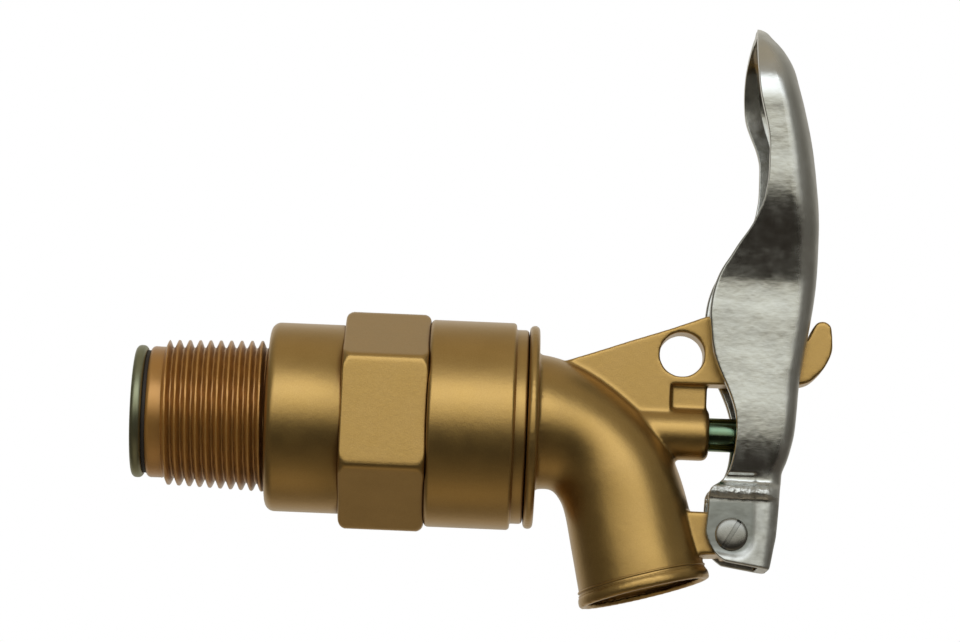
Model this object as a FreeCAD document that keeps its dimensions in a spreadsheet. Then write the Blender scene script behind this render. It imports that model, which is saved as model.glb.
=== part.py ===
"""Drum faucet with a swivelling spout and a self-closing lever valve, in millimetres.

The frame: +X runs along the faucet's axis away from the drum, +Z is up, and the origin is on the axis
at the thread's shoulder. Every size is a cell of the sheet "dim", and a Size carries a cell, or a sum
made from cells, as both an expression and its present value.
"""
import FreeCAD, Part
import Sketcher
import math
import os

DRIVING = {
    # Inlet body: pilot, thread, collar, hexagon, barrel and lip, from the drum to the spout
    "pilot_length": 2.5, "pilot_radius": 11.5, "pilot_rounding": 0.8,
    "thread_pitch": 1.814, "thread_depth": 1.3, "thread_crest_radius": 12.7, "thread_taper": 0.03125,
    "thread_length": 18.4, "thread_crest_width": 0.35, "thread_root_width": 0.35,
    "collar_length": 12.95, "collar_radius": 16.55, "collar_rounding": 1.7,
    "hex_length": 14.95, "hex_flats": 33.4, "hex_corner_radius": 18.95, "hex_rounding": 1.6,
    "barrel_length": 15.0, "barrel_radius": 18.15, "barrel_rounding": 1.8,
    "lip_length": 2.3, "lip_radius": 17.1, "lip_rounding": 0.6,
    "inlet_bore_radius": 8.75, "guide_shoulder": 6.0, "chamber_radius": 11.0, "chamber_length": 22.0,
    # Swivel: the spout's spigot turns in the barrel on two O-rings, held by a snap ring
    "spigot_radius": 13.0, "swivel_clearance": 0.05, "spigot_length": 15.2,
    "swivel_ring_wire": 1.0, "swivel_ring_inset": 1.8, "swivel_ring_spacing": 4.2,
    "ring_groove_slack": 0.2, "seal_clearance": 0.02,
    "snap_wire": 0.8, "snap_inset": 3.4,
    # Spout
    "flange_gap": 0.5, "flange_thickness": 1.8, "flange_radius": 17.85, "flange_rounding": 0.85,
    "neck_radius": 11.65, "neck_rise": 1.2, "bend_radius": 15.8, "bend_turn": 76.0,
    "waist_radius": 10.2, "knee_radius": 10.6, "outlet_radius": 11.15, "outlet_run": 15.5,
    "bead_radius": 11.6, "bead_length": 1.8, "bead_rounding": 0.4,
    "spout_bore_radius": 8.6, "mouth_flare": 1.9,
    # Web plate with its padlock hole and horn, and the rib between the plate and the boss
    "web_thickness": 6.4,
    "web_neck_x": 50.6, "web_neck_z": 11.2, "web_crown_x": 76.8, "web_crown_z": 20.9,
    "web_bottom_z": 8.6, "web_front_x": 70.2,
    "horn_notch_x": 94.2, "horn_notch_z": 18.5, "horn_tip_x": 97.4, "horn_tip_z": 22.0,
    "horn_tip_rounding": 1.3, "horn_toe_x": 98.6, "horn_toe_z": 13.0, "horn_toe_rounding": 4.5,
    "horn_heel_x": 90.5,
    "padlock_x": 71.9, "padlock_z": 13.85, "padlock_radius": 3.9,
    "rib_thickness": 4.2, "rib_end_x": 76.6,
    # Boss that guides the stem, and the ear that carries the lever
    "boss_radius": 4.65, "boss_end_x": 77.2, "boss_rounding": 1.2,
    "stem_seal_wire": 0.5, "stem_seal_inset": 1.6, "stem_seal_spacing": 3.4,
    "pivot_x": 81.4, "pivot_z": -17.8, "ear_thickness": 9.4, "ear_radius": 3.9, "ear_root_x": 73.0,
    "ear_drop": 0.4,
    # Valve stem and what it carries
    "stem_radius": 2.95, "stem_clearance": 0.05, "stem_dome": 1.2, "stem_lever_gap": 0.08,
    "rivet_radius": 1.9, "disc_radius": 11.6, "disc_thickness": 2.0, "disc_rounding": 0.85,
    "gasket_radius": 10.75, "gasket_thickness": 0.6, "backing_radius": 7.2, "backing_thickness": 1.2,
    "guide_thickness": 2.4, "guide_clearance": 0.05, "guide_hub_radius": 4.3, "guide_hub_length": 12.8,
    "guide_window_radius": 2.35, "guide_window_circle": 7.4,
    "spring_radius": 5.55, "spring_wire": 0.6, "spring_turns": 5.5, "spring_length": 15.6,
    "spring_seat_radius": 7.0, "spring_seat_thickness": 1.2,
    "clip_radius": 4.9, "clip_thickness": 0.8, "clip_groove_radius": 2.3, "clip_mouth": 3.4,
    # Lever: the wall, then where each station stands, its open front edge, its back and half its width
    "lever_wall": 1.9, "lever_heel_z": -9.0, "lever_stem_z": 1.0, "lever_throat_z": 10.0,
    "lever_cheek_z": 19.0, "lever_neck_z": 30.0, "lever_rest_z": 41.0, "lever_bend_z": 50.0,
    "lever_palm_z": 60.0, "lever_brow_z": 67.0, "lever_tip_z": 72.3,
    "lever_heel_front": 79.3, "lever_stem_front": 81.6, "lever_throat_front": 78.5,
    "lever_cheek_front": 76.4, "lever_neck_front": 79.4, "lever_rest_front": 85.0,
    "lever_bend_front": 85.3, "lever_palm_front": 83.4, "lever_brow_front": 83.0,
    "lever_tip_front": 83.3,
    "lever_heel_back": 89.9, "lever_stem_back": 92.0, "lever_throat_back": 92.7,
    "lever_cheek_back": 94.0, "lever_neck_back": 95.05, "lever_rest_back": 94.85,
    "lever_bend_back": 93.8, "lever_palm_back": 91.6, "lever_brow_back": 89.2,
    "lever_tip_back": 85.0,
    "lever_heel_half": 6.8, "lever_stem_half": 6.8, "lever_throat_half": 7.2,
    "lever_cheek_half": 8.4, "lever_neck_half": 8.6, "lever_rest_half": 11.0,
    "lever_bend_half": 12.7, "lever_palm_half": 13.8, "lever_brow_half": 10.2,
    "lever_tip_half": 2.6,
    "lever_heel_corner": 2.6, "lever_stem_corner": 2.8, "lever_throat_corner": 3.0,
    "lever_cheek_corner": 3.4, "lever_neck_corner": 4.2, "lever_rest_corner": 5.0,
    "lever_bend_corner": 5.0, "lever_palm_corner": 5.0, "lever_brow_corner": 4.0,
    "lever_tip_corner": 0.9, "lever_tip_wall": 2.6,
    "lug_toe_z": -22.2, "lug_back_x": 88.6, "lug_front_x": 77.6, "lug_rounding": 3.2,
    "lug_corner": 1.5, "lug_sole_z": -23.2,
    "slot_bottom_z": 5.8, "slot_top_z": 19.6, "slot_clearance": 0.35,
    # Pivot screw through both cheeks and the ear
    "pivot_radius": 1.75, "pivot_clearance": 0.05, "screw_head_radius": 2.85, "screw_head_height": 0.9,
    "screw_recess_depth": 0.5, "screw_slot_width": 0.8, "screw_slot_depth": 0.5, "screw_slot_angle": 60.0,
}
THREAD_CRESTS = 10
GUIDE_WINDOWS = 4
STATIONS = ("heel", "stem", "throat", "cheek", "neck", "rest", "bend", "palm", "brow", "tip")


class Size:
    """A length or angle, as an expression on the sheet and as its present value."""

    def __init__(self, text, value):
        self.text = text
        self.value = value

    def __add__(self, other):
        return combine(self, "+", other)

    def __radd__(self, other):
        return combine(other, "+", self)

    def __sub__(self, other):
        return combine(self, "-", other)

    def __rsub__(self, other):
        return combine(other, "-", self)

    def __mul__(self, other):
        return combine(self, "*", other)

    def __rmul__(self, other):
        return combine(other, "*", self)

    def __truediv__(self, other):
        return combine(self, "/", other)

    def __neg__(self):
        return Size("(-1 * %s)" % self.text, -self.value)


def combine(left, sign, right):
    """Join two sizes, or a size and a number, by one sign of arithmetic."""
    left, right = [s if isinstance(s, Size) else Size(repr(float(s)), float(s)) for s in (left, right)]
    results = {
        "+": left.value + right.value,
        "-": left.value - right.value,
        "*": left.value * right.value,
        "/": left.value / right.value if right.value else 0.0,
    }
    return Size("(%s %s %s)" % (left.text, sign, right.text), results[sign])


def sine(angle):
    return Size("sin(%s)" % angle.text, math.sin(math.radians(angle.value)))


def cosine(angle):
    return Size("cos(%s)" % angle.text, math.cos(math.radians(angle.value)))


def bind(thing, name, size):
    """Tie a property of an object to a size."""
    thing.setExpression(name, size.text)


def fill_sheet(sheet):
    """Write each driving size in a row of its own and name its cell."""
    for row, (name, value) in enumerate(DRIVING.items(), start=1):
        sheet.set("A%d" % row, name)
        sheet.set("B%d" % row, repr(value))
        sheet.setAlias("B%d" % row, name)


doc = FreeCAD.newDocument("drum_faucet")
dim_sheet = doc.addObject("Spreadsheet::Sheet", "dim")
fill_sheet(dim_sheet)
doc.recompute()


class Sizes:
    """The sheet's cells by name."""

    def __getattr__(self, name):
        return Size("dim.%s" % name, DRIVING[name])


dim = Sizes()
ZERO = Size("0", 0.0)


def new_body(name):
    return doc.addObject("PartDesign::Body", name)


def new_sketch(body, name, plane):
    """A sketch on one of the body's own origin planes."""
    sketch = body.newObject("Sketcher::SketchObject", name)
    origin_plane = [f for f in body.Origin.OriginFeatures if f.Role == plane][0]
    sketch.AttachmentSupport = (origin_plane, [""])
    sketch.MapMode = "FlatFace"
    return sketch


def set_off(sketch, across=ZERO, up=ZERO, out=ZERO):
    """Move a sketch from its plane, each way by a size."""
    for axis, size in (("x", across), ("y", up), ("z", out)):
        bind(sketch, "AttachmentOffset.Base.%s" % axis, size)


def lean(sketch, angle):
    """Turn a sketch about its own first axis."""
    about_x = FreeCAD.Rotation(FreeCAD.Vector(1, 0, 0), angle.value)
    sketch.AttachmentOffset = FreeCAD.Placement(FreeCAD.Vector(0, 0, 0), about_x)
    bind(sketch, "AttachmentOffset.Rotation.Angle", angle)


def corner_points(before, at, after, radius):
    """The two tangent points and the centre of a corner's round, with its start and end angles."""
    back = (before - at).normalize()
    ahead = (after - at).normalize()
    half = back.getAngle(ahead) / 2
    reach = radius / math.tan(half)
    middle = (back + ahead).normalize() * (radius / math.sin(half))
    centre = at + middle
    return at + back * reach, at + ahead * reach, centre


def arc_through(start, end, centre, radius):
    """The short arc from one tangent point to the other, drawn counter-clockwise."""
    first = math.atan2(start.y - centre.y, start.x - centre.x)
    last = math.atan2(end.y - centre.y, end.x - centre.x)
    turns_left = (last - first) % (2 * math.pi) < math.pi
    if not turns_left:
        first, last = last, first
    circle = Part.Circle(centre, FreeCAD.Vector(0, 0, 1), radius)
    return Part.ArcOfCircle(circle, first, last), turns_left


def pin_point(sketch, geometry, position, across, up):
    """Hold a point of the sketch at two sizes from its origin."""
    for kind, size in (("DistanceX", across), ("DistanceY", up)):
        number = sketch.addConstraint(Sketcher.Constraint(kind, -1, 1, geometry, position, size.value))
        sketch.setExpression("Constraints[%d]" % number, size.text)


def outline(sketch, corners):
    """Draw a closed outline through corners, each (across, up) or (across, up, rounding)."""
    places = [FreeCAD.Vector(c[0].value, c[1].value, 0) for c in corners]
    count = len(corners)
    rounds = {}
    for i, corner in enumerate(corners):
        if len(corner) == 3:
            before, after = places[i - 1], places[(i + 1) % count]
            rounds[i] = corner_points(before, places[i], after, corner[2].value)
    lines = []
    for i in range(count):
        following = (i + 1) % count
        start = rounds[i][1] if i in rounds else places[i]
        end = rounds[following][0] if following in rounds else places[following]
        lines.append(sketch.addGeometry(Part.LineSegment(start, end), False))
    for i, corner in enumerate(corners):
        line_in, line_out = lines[i - 1], lines[i]
        if i not in rounds:
            sketch.addConstraint(Sketcher.Constraint("Coincident", line_in, 2, line_out, 1))
            pin_point(sketch, line_out, 1, corner[0], corner[1])
            continue
        start, end, centre = rounds[i]
        arc_shape, turns_left = arc_through(start, end, centre, corner[2].value)
        arc = sketch.addGeometry(arc_shape, False)
        arc_start, arc_end = (1, 2) if turns_left else (2, 1)
        sketch.addConstraint(Sketcher.Constraint("Tangent", line_in, 2, arc, arc_start))
        sketch.addConstraint(Sketcher.Constraint("Tangent", arc, arc_end, line_out, 1))
        number = sketch.addConstraint(Sketcher.Constraint("Radius", arc, corner[2].value))
        sketch.setExpression("Constraints[%d]" % number, corner[2].text)
        peak = sketch.addGeometry(Part.Point(places[i]), True)
        pin_point(sketch, peak, 1, corner[0], corner[1])
        sketch.addConstraint(Sketcher.Constraint("PointOnObject", peak, 1, line_in))
        sketch.addConstraint(Sketcher.Constraint("PointOnObject", peak, 1, line_out))


def ring(sketch, radius, across=None, up=None):
    """Draw a circle, at the sketch's origin unless it is given a place."""
    place = FreeCAD.Vector(across.value if across else 0, up.value if up else 0, 0)
    circle = sketch.addGeometry(Part.Circle(place, FreeCAD.Vector(0, 0, 1), radius.value), False)
    if across:
        pin_point(sketch, circle, 3, across, up)
    else:
        sketch.addConstraint(Sketcher.Constraint("Coincident", -1, 1, circle, 3))
    number = sketch.addConstraint(Sketcher.Constraint("Radius", circle, radius.value))
    sketch.setExpression("Constraints[%d]" % number, radius.text)


def turned(body, name, corners, cut=False):
    """Revolve an outline, given along X and out from it, about the faucet's axis."""
    sketch = new_sketch(body, name + "_profile", "XZ_Plane")
    outline(sketch, corners)
    turn = body.newObject("PartDesign::Groove" if cut else "PartDesign::Revolution", name)
    turn.Profile = sketch
    turn.ReferenceAxis = (sketch, ["H_Axis"])
    turn.Angle = 360
    return turn


def padded(body, name, sketch, length, cut=False, both_sides=False, flipped=False):
    """Pad or pocket a sketch by a size."""
    feature = body.newObject("PartDesign::Pocket" if cut else "PartDesign::Pad", name)
    feature.Profile = sketch
    bind(feature, "Length", length)
    feature.Midplane = both_sides
    feature.Reversed = flipped
    return feature


def plate(body, name, corners, thickness, cut=False):
    """Pad or pocket an outline of the XZ plane by half a thickness to each side."""
    sketch = new_sketch(body, name + "_profile", "XZ_Plane")
    outline(sketch, corners)
    return padded(body, name, sketch, thickness, cut=cut, both_sides=True)


def disc(body, name, start, end, outer, inner=None, rounding=None):
    """A turned disc or washer from one place on the axis to another."""
    hole = inner if inner else ZERO
    if rounding:
        corners = [(start, hole), (end, hole), (end, outer, rounding), (start, outer, rounding)]
    else:
        corners = [(start, hole), (end, hole), (end, outer), (start, outer)]
    return turned(body, name, corners)


def wire_ring(name, station, ring_radius, wire_radius):
    """A ring of round wire or rubber about the faucet's axis, in a body of its own."""
    body = new_body(name)
    sketch = new_sketch(body, name + "_profile", "XZ_Plane")
    ring(sketch, wire_radius, station, ring_radius)
    turn = body.newObject("PartDesign::Revolution", name + "_turn")
    turn.Profile = sketch
    turn.ReferenceAxis = (sketch, ["H_Axis"])
    turn.Angle = 360
    return body


# Stations along the axis

HEX_START = dim.collar_length
BARREL_START = HEX_START + dim.hex_length
LIP_START = BARREL_START + dim.barrel_length
LIP_END = LIP_START + dim.lip_length
INLET_END = -(dim.thread_length + dim.pilot_length)
CHAMBER_END = dim.guide_shoulder + dim.chamber_length
FLANGE_START = LIP_END + dim.flange_gap
BEND_START = FLANGE_START + dim.flange_thickness
SPIGOT_START = FLANGE_START - dim.spigot_length
BARREL_BORE = dim.spigot_radius + dim.swivel_clearance
REAR_SEAL_X = SPIGOT_START + dim.swivel_ring_inset
FRONT_SEAL_X = REAR_SEAL_X + dim.swivel_ring_spacing
SNAP_X = LIP_END - dim.snap_inset
STEM_BORE = dim.stem_radius + dim.stem_clearance
OUTER_SEAL_X = dim.boss_end_x - dim.stem_seal_inset
INNER_SEAL_X = OUTER_SEAL_X - dim.stem_seal_spacing
GASKET_START = INLET_END - dim.gasket_thickness
DISC_START = GASKET_START - dim.disc_thickness
GUIDE_END = dim.guide_shoulder + dim.guide_thickness
HUB_END = dim.guide_shoulder + dim.guide_hub_length
SPRING_END = GUIDE_END + dim.spring_length
SEAT_END = SPRING_END + dim.spring_seat_thickness
CLIP_END = SEAT_END + dim.clip_thickness
LEVER_INNER_BACK = dim.lever_stem_back - dim.lever_wall
STEM_END = LEVER_INNER_BACK - dim.stem_lever_gap


def thread_corners():
    """The saw-tooth of the tapered thread, each crest a ring one pitch from the last."""
    corners = []
    start = -dim.thread_length
    for crest in range(THREAD_CRESTS):
        middle = start + dim.thread_pitch * (crest + 0.5)
        crest_radius = dim.thread_crest_radius + dim.thread_taper * dim.thread_pitch * crest
        root_radius = crest_radius - dim.thread_depth
        half_crest = dim.thread_crest_width / 2
        half_tooth = (dim.thread_pitch - dim.thread_root_width) / 2
        corners.append((middle - half_tooth, root_radius))
        corners.append((middle - half_crest, crest_radius))
        corners.append((middle + half_crest, crest_radius))
        corners.append((middle + half_tooth, root_radius))
    return corners


def snap_groove(body, name, radius, start, end):
    """Cut a square groove from a bore or spigot wall out to, or in to, a radius."""
    inner, outer = radius
    return turned(body, name, [(start, inner), (end, inner), (end, outer), (start, outer)], cut=True)


def build_inlet_body():
    body = new_body("inlet_body")
    blank = [
        (HEX_START, dim.inlet_bore_radius),
        (BARREL_START, dim.inlet_bore_radius),
        (BARREL_START, dim.hex_corner_radius, dim.hex_rounding),
        (HEX_START, dim.hex_corner_radius, dim.hex_rounding),
    ]
    turned(body, "hexagon_blank", blank)
    flats = new_sketch(body, "hexagon_flats", "YZ_Plane")
    set_off(flats, out=HEX_START)
    corner = dim.hex_flats / math.sqrt(3)
    half = dim.hex_flats / 2
    outline(flats, [
        (ZERO, corner), (-half, corner / 2), (-half, -(corner / 2)),
        (ZERO, -corner), (half, -(corner / 2)), (half, corner / 2),
    ])
    ring(flats, dim.hex_flats)
    padded(body, "hexagon", flats, dim.hex_length, cut=True, flipped=True)
    turned(body, "shank_and_collar", [
        (INLET_END, dim.inlet_bore_radius),
        (HEX_START, dim.inlet_bore_radius),
        (HEX_START, dim.collar_radius),
        (ZERO, dim.collar_radius, dim.collar_rounding),
        (ZERO, dim.thread_crest_radius),
    ] + thread_corners()[::-1] + [
        (-dim.thread_length, dim.pilot_radius),
        (INLET_END, dim.pilot_radius, dim.pilot_rounding),
    ])
    turned(body, "barrel", [
        (BARREL_START - 1, dim.inlet_bore_radius),
        (LIP_END, dim.inlet_bore_radius),
        (LIP_END, dim.lip_radius, dim.lip_rounding),
        (LIP_START, dim.lip_radius),
        (LIP_START, dim.barrel_radius, dim.lip_rounding),
        (BARREL_START, dim.barrel_radius, dim.barrel_rounding),
        (BARREL_START, dim.collar_radius - 2),
        (BARREL_START - 1, dim.collar_radius - 2),
    ])
    turned(body, "bores", [
        (dim.guide_shoulder, ZERO),
        (LIP_END, ZERO),
        (LIP_END, BARREL_BORE),
        (CHAMBER_END, BARREL_BORE),
        (CHAMBER_END, dim.chamber_radius),
        (dim.guide_shoulder, dim.chamber_radius),
    ], cut=True)
    half_groove = dim.snap_wire + dim.ring_groove_slack / 2
    snap_groove(body, "snap_ring_groove", (dim.spigot_radius - 1, BARREL_BORE + half_groove),
                SNAP_X - half_groove, SNAP_X + half_groove)
    return body


def build_stem_guide():
    """A plate with flow windows and a long hub that guides the stem inside its spring."""
    body = new_body("stem_guide")
    hole = STEM_BORE
    turned(body, "guide_blank", [
        (dim.guide_shoulder, hole),
        (HUB_END, hole),
        (HUB_END, dim.guide_hub_radius),
        (GUIDE_END, dim.guide_hub_radius),
        (GUIDE_END, dim.chamber_radius - dim.guide_clearance),
        (dim.guide_shoulder, dim.chamber_radius - dim.guide_clearance),
    ])
    windows = new_sketch(body, "window_circles", "YZ_Plane")
    set_off(windows, out=dim.guide_shoulder)
    for window in range(GUIDE_WINDOWS):
        angle = math.radians(360 / GUIDE_WINDOWS * window + 180 / GUIDE_WINDOWS)
        across = dim.guide_window_circle * math.cos(angle)
        up = dim.guide_window_circle * math.sin(angle)
        ring(windows, dim.guide_window_radius, across, up)
    padded(body, "windows", windows, dim.guide_thickness, cut=True, flipped=True)
    return body


def bend_station(share):
    """The centre and radius of the spout's outer wall at a share of its bend."""
    angle = dim.bend_turn * share
    rise = dim.neck_rise * (1 - share) ** 3
    centre_x = BEND_START + dim.bend_radius * sine(angle)
    centre_z = rise - dim.bend_radius * (1 - cosine(angle))
    if share < 0.5:
        radius = dim.neck_radius + (dim.waist_radius - dim.neck_radius) * (share * 2)
    else:
        radius = dim.waist_radius + (dim.knee_radius - dim.waist_radius) * (share * 2 - 1)
    return centre_x, centre_z, angle, radius


def outlet_place(run):
    """A place on the straight leg of the spout, a run past the end of its bend."""
    centre_x = BEND_START + dim.bend_radius * sine(dim.bend_turn) + run * cosine(dim.bend_turn)
    centre_z = -(dim.bend_radius * (1 - cosine(dim.bend_turn))) - run * sine(dim.bend_turn)
    return centre_x, centre_z


def cross_ring(body, name, centre_x, centre_z, angle, radius):
    """A circle across the spout's path."""
    sketch = new_sketch(body, name, "YZ_Plane")
    lean(sketch, angle)
    set_off(sketch, up=centre_z, out=centre_x)
    ring(sketch, radius)
    return sketch


def add_spout_tube(body):
    """The bent tube, lofted through circles that narrow at the waist and widen to the outlet."""
    rings = []
    for step in range(5):
        centre_x, centre_z, angle, radius = bend_station(step / 4)
        rings.append(cross_ring(body, "bend_ring_%d" % step, centre_x, centre_z, angle, radius))
    for step in (1, 2):
        centre_x, centre_z = outlet_place(dim.outlet_run * (step / 2))
        radius = dim.knee_radius + (dim.outlet_radius - dim.knee_radius) * (step / 2)
        rings.append(cross_ring(body, "leg_ring_%d" % step, centre_x, centre_z, dim.bend_turn, radius))
    tube = body.newObject("PartDesign::AdditiveLoft", "bent_tube")
    tube.Profile = rings[0]
    tube.Sections = rings[1:]
    tube.Ruled = False


def add_outlet_bead(body):
    centre_x, centre_z = outlet_place(dim.outlet_run)
    rim = cross_ring(body, "bead_ring", centre_x, centre_z, dim.bend_turn, dim.bead_radius)
    bead = padded(body, "outlet_bead", rim, dim.bead_length)
    doc.recompute()
    rounding = body.newObject("PartDesign::Fillet", "bead_rounding")
    rounding.Base = (bead, circles_of(bead.Shape, dim.bead_radius.value))
    bind(rounding, "Radius", dim.bead_rounding)
    doc.recompute()


def circles_of(shape, radius):
    """Names of the circular edges of one radius."""
    names = []
    for number, edge in enumerate(shape.Edges, start=1):
        if isinstance(edge.Curve, Part.Circle) and abs(edge.Curve.Radius - radius) < 1e-4:
            names.append("Edge%d" % number)
    return names


def add_web(body):
    """The plate over the bend, with the horn that holds the lever, and the rib below it."""
    plate(body, "web_plate", [
        (dim.web_neck_x, ZERO),
        (dim.web_front_x, ZERO),
        (dim.web_front_x, dim.web_bottom_z),
        (dim.horn_heel_x, dim.web_bottom_z),
        (dim.horn_toe_x, dim.horn_toe_z, dim.horn_toe_rounding),
        (dim.horn_tip_x, dim.horn_tip_z, dim.horn_tip_rounding),
        (dim.horn_notch_x, dim.horn_notch_z),
        (dim.web_crown_x, dim.web_crown_z, dim.web_crown_z / 4),
        (dim.web_neck_x, dim.web_neck_z),
    ], dim.web_thickness)
    plate(body, "rib", [
        (dim.web_front_x - 1, ZERO),
        (dim.rib_end_x, ZERO),
        (dim.rib_end_x, dim.web_bottom_z),
        (dim.web_front_x - 1, dim.web_bottom_z),
    ], dim.rib_thickness)


def add_boss(body):
    """The round boss on the axis that guides the stem out of the bend."""
    turned(body, "boss", [
        (BEND_START + dim.bend_radius, ZERO),
        (dim.boss_end_x, ZERO),
        (dim.boss_end_x, dim.boss_radius, dim.boss_rounding),
        (BEND_START + dim.bend_radius, dim.boss_radius),
    ])


def add_ear(body):
    """The ear that carries the lever, round about its pivot."""
    top = dim.pivot_z + dim.ear_radius
    bottom = dim.pivot_z - dim.ear_radius
    front = dim.pivot_x + dim.ear_radius
    plate(body, "ear", [
        (dim.ear_root_x, bottom - dim.ear_drop),
        (front, bottom, dim.ear_radius - 0.05),
        (front, top, dim.ear_radius - 0.05),
        (dim.ear_root_x - 1, top),
    ], dim.ear_thickness)


def cut_spout_bores(body):
    """The bore through spigot, bend and outlet, and the stem's bore with its two seal grooves."""
    path = new_sketch(body, "bore_path", "XZ_Plane")
    bend_end_x, bend_end_z = outlet_place(ZERO)
    mouth_x, mouth_z = outlet_place(dim.outlet_run + dim.bead_length)
    centre = FreeCAD.Vector(BEND_START.value, -dim.bend_radius.value, 0)
    start = FreeCAD.Vector(SPIGOT_START.value, 0, 0)
    knee = FreeCAD.Vector(BEND_START.value, 0, 0)
    bend_end = FreeCAD.Vector(bend_end_x.value, bend_end_z.value, 0)
    mouth = FreeCAD.Vector(mouth_x.value, mouth_z.value, 0)
    run_in = path.addGeometry(Part.LineSegment(start, knee), False)
    arc_shape, turns_left = arc_through(knee, bend_end, centre, dim.bend_radius.value)
    arc = path.addGeometry(arc_shape, False)
    arc_start, arc_end = (1, 2) if turns_left else (2, 1)
    run_out = path.addGeometry(Part.LineSegment(bend_end, mouth), False)
    path.addConstraint(Sketcher.Constraint("Coincident", run_in, 2, arc, arc_start))
    path.addConstraint(Sketcher.Constraint("Tangent", arc, arc_end, run_out, 1))
    pin_point(path, run_in, 1, SPIGOT_START, ZERO)
    pin_point(path, run_in, 2, BEND_START, ZERO)
    pin_point(path, arc, 3, BEND_START, -dim.bend_radius)
    pin_point(path, run_out, 2, mouth_x, mouth_z)
    mouth_ring = cross_ring(body, "bore_ring", SPIGOT_START, ZERO, ZERO, dim.spout_bore_radius)
    bore = body.newObject("PartDesign::SubtractivePipe", "bore")
    bore.Profile = mouth_ring
    bore.Spine = path
    turned(body, "stem_bore", [
        (BEND_START, ZERO),
        (dim.boss_end_x, ZERO),
        (dim.boss_end_x, STEM_BORE),
        (BEND_START, STEM_BORE),
    ], cut=True)
    for name, station in (("inner_seal_groove", INNER_SEAL_X), ("outer_seal_groove", OUTER_SEAL_X)):
        half_groove = dim.stem_seal_wire + dim.ring_groove_slack / 2
        depth = STEM_BORE + 2 * dim.stem_seal_wire
        snap_groove(body, name, (dim.stem_radius - 1, depth), station - half_groove, station + half_groove)


def cut_mouth(body):
    """The flare of the bore at the outlet's rim."""
    centre_x, centre_z = outlet_place(dim.outlet_run + dim.bead_length)
    flare = dim.mouth_flare
    throat_x, throat_z = outlet_place(dim.outlet_run + dim.bead_length - flare * 1.5)
    rings = [
        cross_ring(body, "flare_rim", centre_x, centre_z, dim.bend_turn, dim.spout_bore_radius + flare),
        cross_ring(body, "flare_throat", throat_x, throat_z, dim.bend_turn, dim.spout_bore_radius),
    ]
    cone = body.newObject("PartDesign::SubtractiveLoft", "mouth_flare_cone")
    cone.Profile = rings[0]
    cone.Sections = rings[1:]
    cone.Ruled = True


def cut_round(body, name, across, up, radius, length):
    """A round hole through the plates, along Y."""
    sketch = new_sketch(body, name + "_circle", "XZ_Plane")
    ring(sketch, radius, across, up)
    padded(body, name, sketch, length, cut=True, both_sides=True)


def build_spout_body():
    body = new_body("spout_body")
    turned(body, "spigot_and_flange", [
        (SPIGOT_START, dim.spout_bore_radius - 1),
        (BEND_START, dim.spout_bore_radius - 1),
        (BEND_START, dim.flange_radius, dim.flange_rounding),
        (FLANGE_START, dim.flange_radius, dim.flange_rounding),
        (FLANGE_START, dim.spigot_radius),
        (SPIGOT_START, dim.spigot_radius),
    ])
    for name, station, wire in (
        ("rear_swivel_groove", REAR_SEAL_X, dim.swivel_ring_wire),
        ("front_swivel_groove", FRONT_SEAL_X, dim.swivel_ring_wire),
    ):
        half_groove = wire + dim.ring_groove_slack / 2
        floor = BARREL_BORE - dim.seal_clearance - 2 * wire
        snap_groove(body, name, (floor, dim.spigot_radius + 1), station - half_groove, station + half_groove)
    half_groove = dim.snap_wire + dim.ring_groove_slack / 2
    snap_groove(body, "spigot_snap_groove", (BARREL_BORE - half_groove, dim.spigot_radius + 1),
                SNAP_X - half_groove, SNAP_X + half_groove)
    add_spout_tube(body)
    add_outlet_bead(body)
    add_boss(body)
    add_web(body)
    add_ear(body)
    cut_spout_bores(body)
    cut_mouth(body)
    cut_round(body, "padlock_hole", dim.padlock_x, dim.padlock_z, dim.padlock_radius, dim.web_thickness * 2)
    cut_round(body, "pivot_hole", dim.pivot_x, dim.pivot_z, dim.pivot_radius + dim.pivot_clearance,
              dim.ear_thickness * 2)
    return body


def build_stem():
    """The rod from the rivet in the valve disc to the dome that the lever presses."""
    body = new_body("stem")
    turned(body, "rod", [
        (DISC_START, ZERO),
        (STEM_END, ZERO),
        (STEM_END, dim.stem_radius, dim.stem_dome),
        (CLIP_END, dim.stem_radius),
        (CLIP_END, dim.clip_groove_radius),
        (SEAT_END, dim.clip_groove_radius),
        (SEAT_END, dim.stem_radius),
        (INLET_END + dim.backing_thickness, dim.stem_radius),
        (INLET_END + dim.backing_thickness, dim.rivet_radius),
        (DISC_START, dim.rivet_radius),
    ])
    return body


def build_washers():
    """The disc, gasket and washers that the stem carries."""
    valve_disc = new_body("valve_disc")
    disc(valve_disc, "disc_turn", DISC_START, GASKET_START, dim.disc_radius, dim.rivet_radius,
         dim.disc_rounding)
    gasket = new_body("valve_gasket")
    disc(gasket, "gasket_turn", GASKET_START, INLET_END, dim.gasket_radius, dim.rivet_radius)
    backing = new_body("gasket_backing_washer")
    disc(backing, "backing_turn", INLET_END, INLET_END + dim.backing_thickness, dim.backing_radius,
         dim.rivet_radius)
    seat = new_body("spring_washer")
    disc(seat, "seat_turn", SPRING_END, SEAT_END, dim.spring_seat_radius, dim.stem_radius)
    return [valve_disc, gasket, backing, seat]


def build_stem_clip():
    """The open clip that snaps into the stem's groove behind the spring's washer."""
    body = new_body("stem_clip")
    disc(body, "clip_turn", SEAT_END, CLIP_END, dim.clip_radius, dim.clip_groove_radius)
    mouth = new_sketch(body, "clip_mouth_outline", "YZ_Plane")
    set_off(mouth, out=SEAT_END)
    half = dim.clip_mouth / 2
    outline(mouth, [(-half, ZERO), (-half, -(dim.clip_radius + 1)), (half, -(dim.clip_radius + 1)), (half, ZERO)])
    padded(body, "clip_mouth_cut", mouth, dim.clip_thickness, cut=True, flipped=True)
    return body


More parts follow.
